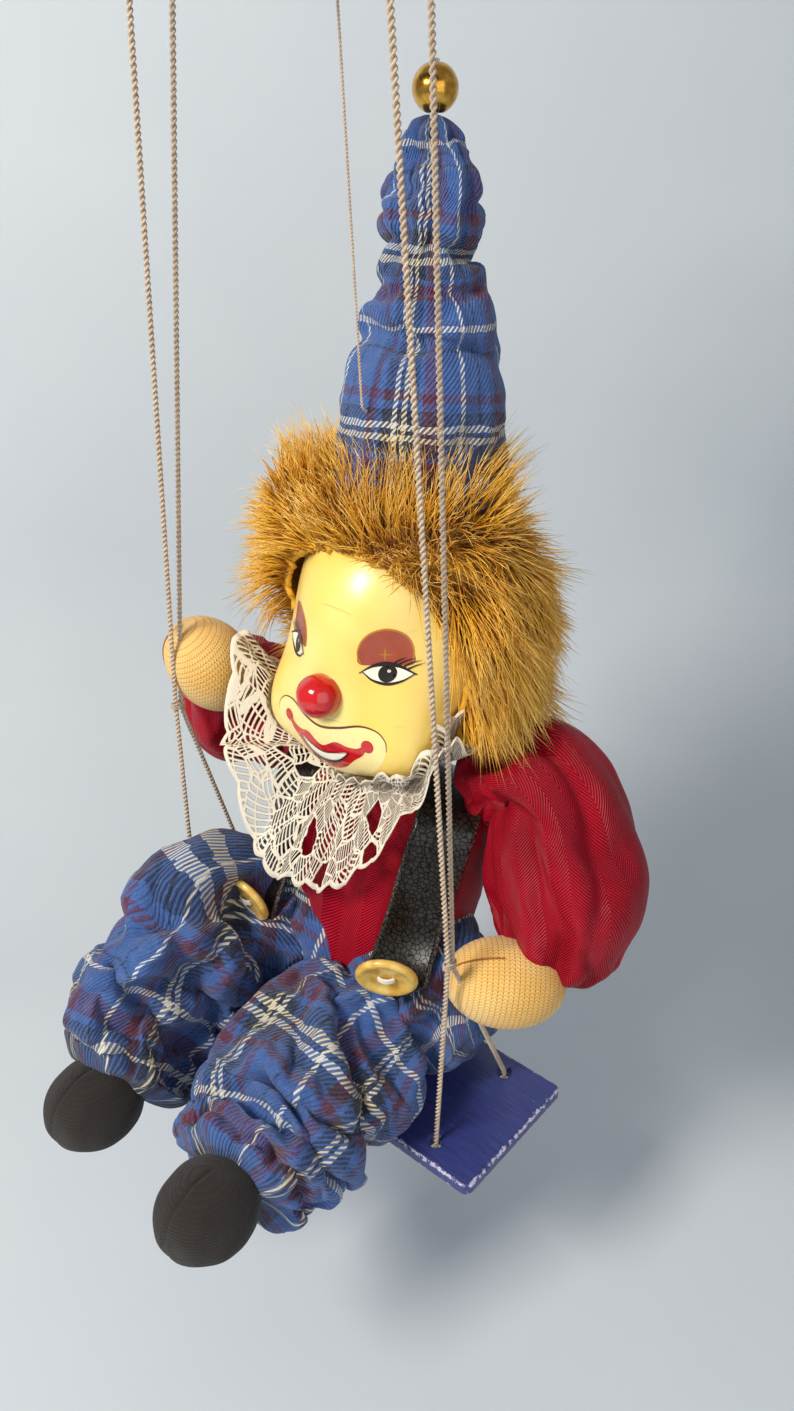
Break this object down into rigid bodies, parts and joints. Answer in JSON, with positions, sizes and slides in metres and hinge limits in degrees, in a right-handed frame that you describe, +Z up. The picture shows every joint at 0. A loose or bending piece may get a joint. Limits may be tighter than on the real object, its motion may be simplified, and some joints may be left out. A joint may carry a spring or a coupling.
{
  "type": "clown doll on a swing",
  "caption": "Small clown doll with painted ceramic head, fur wig and plaid trousers, sitting on a wooden swing seat hung on cords from a board and ring.",
  "frame": {"origin": "the inside top of the hanging ring, where a hook carries it", "axes": "+Z up, the doll faces -Y and its left hand is at +X"},
  "size_m": [0.1279, 0.1298, 0.2827],
  "materials": {
    "violet_paint": "thin violet-blue paint with worn edges",
    "steel": "bright plated wire",
    "cord": "two-ply twisted cotton cord",
    "jersey": "yellow-beige fine knit jersey",
    "crimson_twill": "crimson herringbone satin",
    "blue_plaid": "blue plaid twill with navy, burgundy and white lines",
    "black_leather": "grained black leatherette",
    "cream_button": "polished",
    "gold_bead": "gold lacquer",
    "white_lace": "off-white lace",
    "painted_face": "glossy pale yellow glaze with painted features",
    "golden_fur": "long-pile golden-brown fur",
    "black_jersey": "black-brown fine jersey",
    "white_stuffing": "white stuffing cloth"
  },
  "bodies": {
    "ring": {"hanging_ring": "steel"},
    "swing": {"eye_screw": "steel", "hanger_board": "violet_paint", "cord_front_left": "cord", "cord_back_left": "cord", "cord_front_right": "cord", "cord_back_right": "cord", "head_thread": "cord", "swing_seat": "violet_paint", "hand_stitch_left": "cord", "hand_stitch_right": "cord", "body_stuffing": "white_stuffing", "shirt": "crimson_twill", "trouser_hips": "blue_plaid", "strap_left": "black_leather", "strap_right": "black_leather", "button_left": "cream_button", "button_right": "cream_button", "arm_left": "jersey", "arm_right": "jersey", "sleeve_left": "crimson_twill", "sleeve_right": "crimson_twill"},
    "neck": {"neck_cloth": "crimson_twill", "neck_binding": "cord", "lace_collar": "white_lace"},
    "head": {"head": "painted_face", "wig": "golden_fur", "hat": "blue_plaid", "hat_bead": "gold_bead"},
    "leg_left": {"trouser_leg_left": "blue_plaid", "leg_left": "jersey"},
    "leg_right": {"trouser_leg_right": "blue_plaid", "leg_right": "jersey"},
    "foot_left": {"shoe_left": "black_jersey", "shoe_weight_left": "steel"},
    "foot_right": {"shoe_right": "black_jersey", "shoe_weight_right": "steel"}
  },
  "joints": [
    {"name": "swing_hinge", "type": "hinge", "parent": "ring", "child": "swing", "pos_m": [0, 0, -0.0171], "axis": [1, 0, 0], "range_deg": [-25, 25]},
    {"name": "head_nod", "type": "hinge", "parent": "swing", "child": "neck", "pos_m": [0, 0.0244, -0.2032], "axis": [1, 0, 0], "range_deg": [-10, 12], "deforming": ["lace_collar", "wig", "head_thread"]},
    {"name": "head_turn", "type": "hinge", "parent": "neck", "child": "head", "pos_m": [0, 0.0244, -0.2032], "axis": [0, 0, 1], "range_deg": [-25, 25], "deforming": ["lace_collar", "wig", "head_thread"]},
    {"name": "hip_left", "type": "hinge", "parent": "swing", "child": "leg_left", "pos_m": [0.015, -0.00575, -0.236], "axis": [-1, 0, 0], "range_deg": [0, 25]},
    {"name": "hip_right", "type": "hinge", "parent": "swing", "child": "leg_right", "pos_m": [-0.022, -0.00575, -0.2168], "axis": [-1, 0, 0], "range_deg": [0, 25]},
    {"name": "ankle_left", "type": "hinge", "parent": "leg_left", "child": "foot_left", "pos_m": [0.0205, -0.0474, -0.2574], "axis": [1, 0, 0], "range_deg": [-12, 12]},
    {"name": "ankle_right", "type": "hinge", "parent": "leg_right", "child": "foot_right", "pos_m": [-0.0195, -0.0464, -0.2566], "axis": [1, 0, 0], "range_deg": [-12, 12]}
  ]
}
